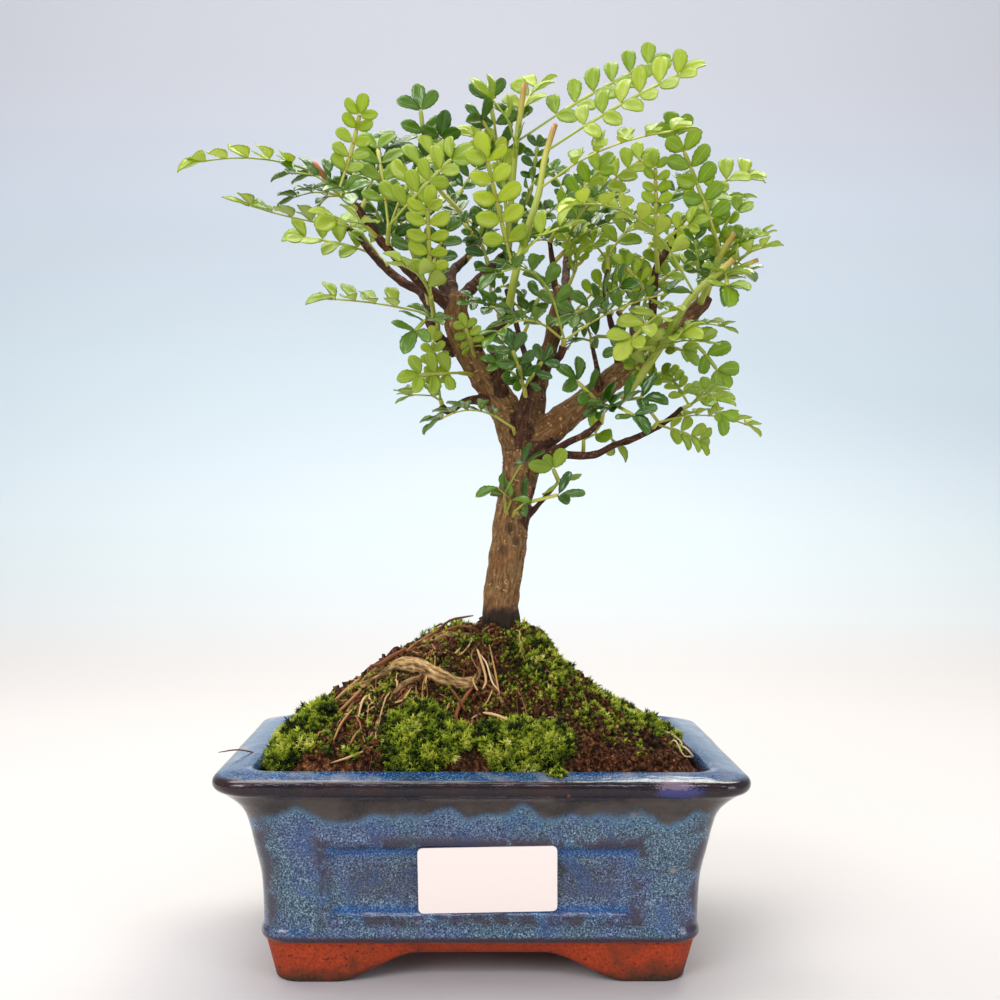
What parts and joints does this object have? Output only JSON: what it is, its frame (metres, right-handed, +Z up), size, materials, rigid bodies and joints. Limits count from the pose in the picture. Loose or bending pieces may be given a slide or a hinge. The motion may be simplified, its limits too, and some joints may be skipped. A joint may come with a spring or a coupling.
{
  "type": "potted bonsai tree",
  "caption": "Small pinnate-leaved bonsai with a forked trunk and bare surface roots, on a mossy mound in a rectangular glazed pot with corner feet and a blank label.",
  "frame": {"origin": "on the floor, below the middle of the whole plant's bounding box", "axes": "+X along the pot's long side, to the right seen from the front; +Y to the back; +Z up"},
  "size_m": [0.1872, 0.1154, 0.2902],
  "materials": {
    "glaze": "glossy mottled blue and dark brown glaze over a terracotta foot",
    "label": "satin, blank",
    "soil": "damp crumbly peat",
    "bark": "dull grey-brown bark with raised pores",
    "moss": "feathery, bright green",
    "mature_leaf": "glossy dark green leaf",
    "young_leaf": "satin yellow-green leaf"
  },
  "bodies": {
    "root": {"pot": "glaze", "label": "label", "soil": "soil", "wood": "bark", "moss_left": "moss", "moss_front_left": "moss", "moss_front": "moss", "moss_slope": "moss", "moss_right": "moss", "moss_crest": "moss", "moss_back": "moss", "spray_left_cut": "young_leaf", "spray_left_tip": "mature_leaf", "spray_left_bow": "young_leaf", "spray_left_behind": "young_leaf", "spray_left_low": "young_leaf", "spray_limb_a_front": "young_leaf", "spray_limb_a_top": "mature_leaf", "spray_center_left": "young_leaf", "spray_center_dark": "mature_leaf", "spray_back_fork": "mature_leaf", "spray_top_left": "mature_leaf", "spray_cut_two": "young_leaf", "spray_cut_one": "young_leaf", "spray_short_branch": "mature_leaf", "spray_red_branch": "mature_leaf", "spray_fork_front": "mature_leaf", "spray_fork_behind": "mature_leaf", "spray_stub_low": "young_leaf", "spray_limb_left_side": "young_leaf", "spray_limb_left_dark": "mature_leaf", "spray_limb_left_young": "young_leaf", "spray_fork_low": "mature_leaf", "spray_trunk_left": "mature_leaf", "spray_trunk_right": "mature_leaf", "spray_twig_trunk": "young_leaf", "spray_low_tip": "young_leaf", "spray_low_right": "young_leaf", "spray_low_inner": "mature_leaf", "spray_low_hang": "young_leaf", "spray_cut_right": "young_leaf", "spray_far_right": "young_leaf", "spray_cut_upper": "young_leaf", "spray_twig_top": "young_leaf", "spray_upright": "young_leaf", "spray_middle_top": "young_leaf", "spray_middle_dark": "mature_leaf", "spray_stub_side": "young_leaf", "spray_twig_two": "mature_leaf", "spray_twig_two_top": "young_leaf", "spray_twig_one_low": "young_leaf", "spray_limb_end": "mature_leaf", "spray_limb_under": "mature_leaf", "spray_limb_right": "young_leaf", "spray_behind_left": "mature_leaf", "spray_behind_mid_left": "mature_leaf", "spray_behind_mid": "mature_leaf", "spray_behind_right": "mature_leaf", "spray_behind_low": "mature_leaf"}
  },
  "joints": []
}
